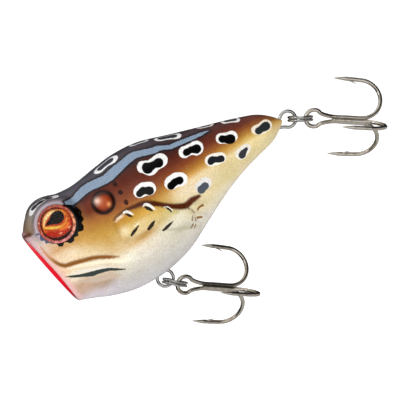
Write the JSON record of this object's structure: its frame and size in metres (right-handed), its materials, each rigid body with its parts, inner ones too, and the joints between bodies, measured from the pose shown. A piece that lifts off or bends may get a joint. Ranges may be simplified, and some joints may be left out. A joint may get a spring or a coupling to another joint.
{
  "type": "topwater popper lure",
  "caption": "Hollow hard-plastic topwater popper in a frog pattern, with a cupped mouth, domed eyes, split rings and treble hooks hung from the belly and tail.",
  "frame": {"origin": "centre of the line-tie eye, which sits inside the mouth cup on the middle plane", "axes": "+X from the mouth to the tail, +Z towards the back (dorsal side), +Y to the lure's right flank"},
  "size_m": [0.0817, 0.0222, 0.0453],
  "materials": {
    "painted_shell": "airbrushed frog pattern, from near-black brown on the back through golden tan to a pearl-white belly, under a glossy clear coat",
    "eye_foil": "printed foil: black teardrop pupil, gold ring and orange-red iris",
    "eye_resin": "clear domed resin",
    "hanger_wire": "bright nickelled stainless wire",
    "ring_wire": "bright nickelled wire",
    "hook_wire": "tinned high-carbon hook wire",
    "weight_steel": "plain turned steel",
    "rattle_steel": "polished bearing steel"
  },
  "bodies": {
    "body": {"body_left_shell": "painted_shell", "body_right_shell": "painted_shell", "left_eye_disc": "eye_foil", "left_eye_dome": "eye_resin", "right_eye_disc": "eye_foil", "right_eye_dome": "eye_resin", "line_tie": "hanger_wire", "belly_hanger": "hanger_wire", "tail_hanger": "hanger_wire", "tail_weight": "weight_steel"},
    "belly_ring": {"belly_split_ring": "ring_wire"},
    "belly_treble": {"belly_treble_double": "hook_wire", "belly_treble_single": "hook_wire"},
    "tail_ring": {"tail_split_ring": "ring_wire"},
    "tail_treble": {"tail_treble_double": "hook_wire", "tail_treble_single": "hook_wire"},
    "front_rattle": {"rattle_ball_1": "rattle_steel"},
    "middle_rattle": {"rattle_ball_2": "rattle_steel"},
    "rear_rattle": {"rattle_ball_3": "rattle_steel"}
  },
  "joints": [
    {"name": "belly_ring_swing", "type": "hinge", "parent": "body", "child": "belly_ring", "pos_m": [0.01605, 0, -0.0157], "axis": [0, 1, 0], "range_deg": [-3, 85]},
    {"name": "belly_treble_swing", "type": "hinge", "parent": "belly_ring", "child": "belly_treble", "pos_m": [0.01971, 0, -0.01911], "axis": [0, 1, 0], "range_deg": [-3, 45]},
    {"name": "tail_ring_swing", "type": "hinge", "parent": "body", "child": "tail_ring", "pos_m": [0.0571, 0, -0.00132], "axis": [0, 1, 0], "range_deg": [-55, 60]},
    {"name": "tail_treble_swing", "type": "hinge", "parent": "tail_ring", "child": "tail_treble", "pos_m": [0.06143, 0, -0.00382], "axis": [0, 1, 0], "range_deg": [-55, 50]},
    {"name": "front_rattle_slide", "type": "slide", "parent": "body", "child": "front_rattle", "axis": [1, 0, 0], "range_m": [-0.0025, 0.0025]},
    {"name": "middle_rattle_slide", "type": "slide", "parent": "body", "child": "middle_rattle", "axis": [1, 0, 0], "range_m": [-0.0025, 0.0025]},
    {"name": "rear_rattle_slide", "type": "slide", "parent": "body", "child": "rear_rattle", "axis": [1, 0, 0], "range_m": [-0.0025, 0.0025]}
  ],
  "couplings": [
    {"joint": "front_rattle_slide", "follows": "middle_rattle_slide", "ratio": 1},
    {"joint": "rear_rattle_slide", "follows": "middle_rattle_slide", "ratio": 1}
  ]
}
